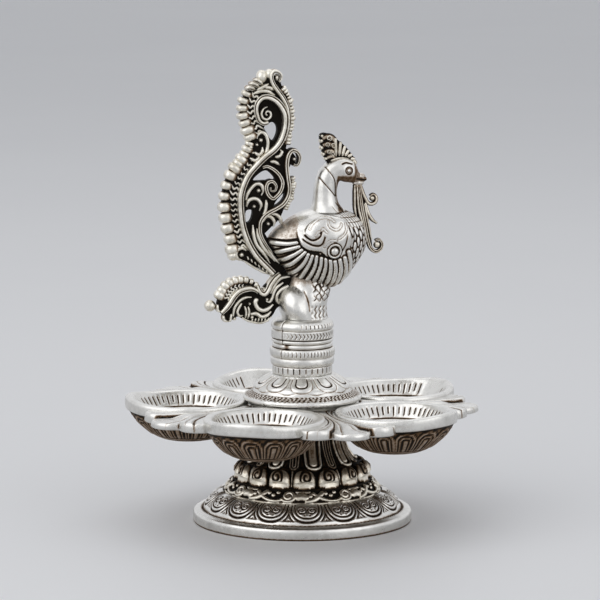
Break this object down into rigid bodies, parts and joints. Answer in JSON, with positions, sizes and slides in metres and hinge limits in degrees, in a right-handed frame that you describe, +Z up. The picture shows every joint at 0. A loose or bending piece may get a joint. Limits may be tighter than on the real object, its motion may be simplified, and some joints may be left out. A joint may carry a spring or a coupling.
{
  "type": "oil lamp stand",
  "caption": "Footed oil lamp stand: a tray of pointed petal cups on a lotus pedestal, with a cast peacock on a ringed pillar, held together on a central rod.",
  "frame": {"origin": "middle of the foot's underside, on the lamp's axis, level with the surface that it stands on", "axes": "+Z up along the central rod, -X through the tip of a cup, so the tray is even about the XZ plane"},
  "size_m": [0.1405, 0.136, 0.1794],
  "materials": {
    "bright_silver": "polished cast white metal with a silver wash, dark oxide left in the engraving",
    "aged_silver": "silvered casting with heavy dark oxide in the recesses and bright high spots",
    "dark_silver": "openwork silvered casting, oxidised dark between bright polished strands",
    "plain_steel": "zinc-plated steel fastener"
  },
  "bodies": {
    "pedestal": {"foot": "bright_silver", "pedestal_bell": "aged_silver", "tie_rod": "plain_steel", "clamp_washer": "plain_steel", "lock_washer": "plain_steel", "clamp_nut": "plain_steel"},
    "tray": {"diya_tray": "bright_silver"},
    "peacock": {"lotus_collar": "bright_silver", "pillar": "bright_silver", "peacock_body": "bright_silver", "neck_head": "bright_silver", "crest": "aged_silver", "beak_garland": "aged_silver", "tail_plume": "dark_silver", "lower_tail": "dark_silver"}
  },
  "joints": [
    {"name": "tray_turn", "type": "hinge", "parent": "pedestal", "child": "tray", "pos_m": [0, 0, 0.04], "axis": [0, 0, 1], "continuous": true},
    {"name": "peacock_turn", "type": "hinge", "parent": "pedestal", "child": "peacock", "pos_m": [0, 0, 0.0592], "axis": [0, 0, 1], "continuous": true}
  ]
}
